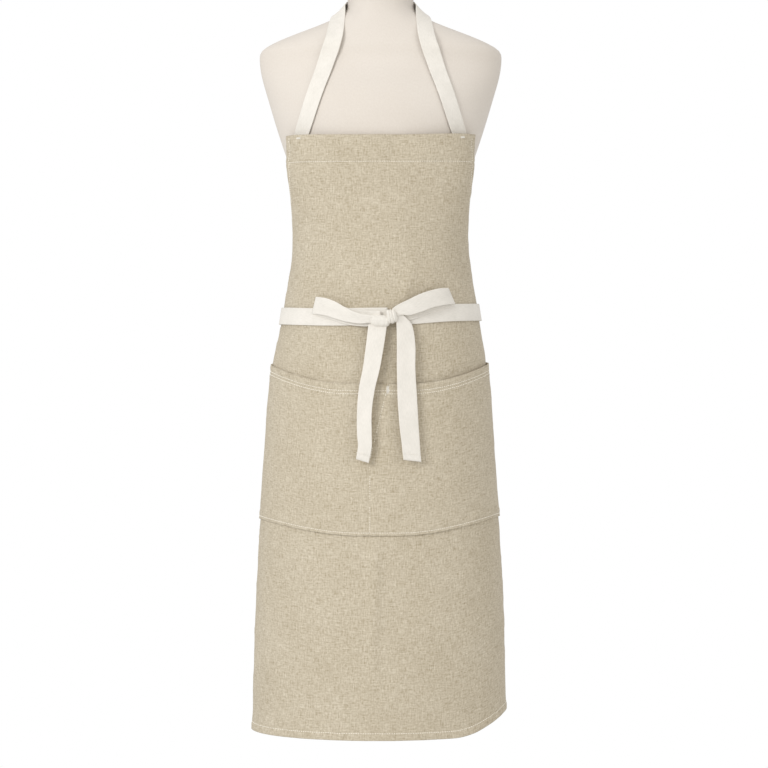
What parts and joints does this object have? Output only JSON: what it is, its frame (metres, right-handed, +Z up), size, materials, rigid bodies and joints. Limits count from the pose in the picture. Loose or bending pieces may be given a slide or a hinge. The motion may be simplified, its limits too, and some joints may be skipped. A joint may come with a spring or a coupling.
{
  "type": "apron on dress form",
  "caption": "Linen bib apron with a neck strap, front-tied waist ties and a divided patch pocket, worn by a dress-form torso with a pole socket.",
  "frame": {"origin": "centre of the pole socket's mouth, under the dress form", "axes": "+Z up along the pole, +X to the right seen from the front, front of the apron towards -Y"},
  "size_m": [0.3733, 0.2736, 1.11],
  "materials": {
    "foam": "rigid foam",
    "jersey": "smooth fine jersey knit",
    "cap_wood": "satin lacquer",
    "plate_wood": "bare plywood",
    "socket_steel": "zinc plated",
    "screw_steel": "zinc plated",
    "knob_plastic": "moulded",
    "linen": "washed flax linen, slubbed plain weave",
    "cotton_tape": "natural cotton twill tape",
    "thread": "pale sewing thread"
  },
  "bodies": {
    "form_and_apron": {"form_core": "foam", "form_cover": "jersey", "neck_cap": "cap_wood", "base_plate": "plate_wood", "pole_socket": "socket_steel", "socket_screws": "screw_steel", "apron_panel": "linen", "pocket_panel": "linen", "neck_strap": "cotton_tape", "waist_tie_left": "cotton_tape", "waist_tie_right": "cotton_tape", "bow_knot": "cotton_tape", "bow_loop_left": "cotton_tape", "bow_loop_right": "cotton_tape", "bib_hem_stitching": "thread", "side_hem_stitching": "thread", "skirt_hem_stitching": "thread", "pocket_mouth_stitching": "thread", "pocket_seam_stitching": "thread", "strap_tacks": "thread", "tie_tacks": "thread", "pocket_tack": "thread"},
    "left_tail": {"bow_tail_left": "cotton_tape"},
    "right_tail": {"bow_tail_right": "cotton_tape"},
    "clamp": {"clamp_screw": "knob_plastic"}
  },
  "joints": [
    {"name": "left_tail_swing", "type": "hinge", "parent": "form_and_apron", "child": "left_tail", "pos_m": [0.0051, -0.12114, 0.315], "axis": [-1, 0, 0], "range_deg": [0, 60]},
    {"name": "right_tail_swing", "type": "hinge", "parent": "form_and_apron", "child": "right_tail", "pos_m": [0.03428, -0.11817, 0.315], "axis": [-1, 0, 0], "range_deg": [0, 60]},
    {"name": "clamp_turn", "type": "hinge", "parent": "form_and_apron", "child": "clamp", "pos_m": [0, 0.03, 0.026], "axis": [0, 1, 0], "range_deg": [-360, 720]}
  ]
}
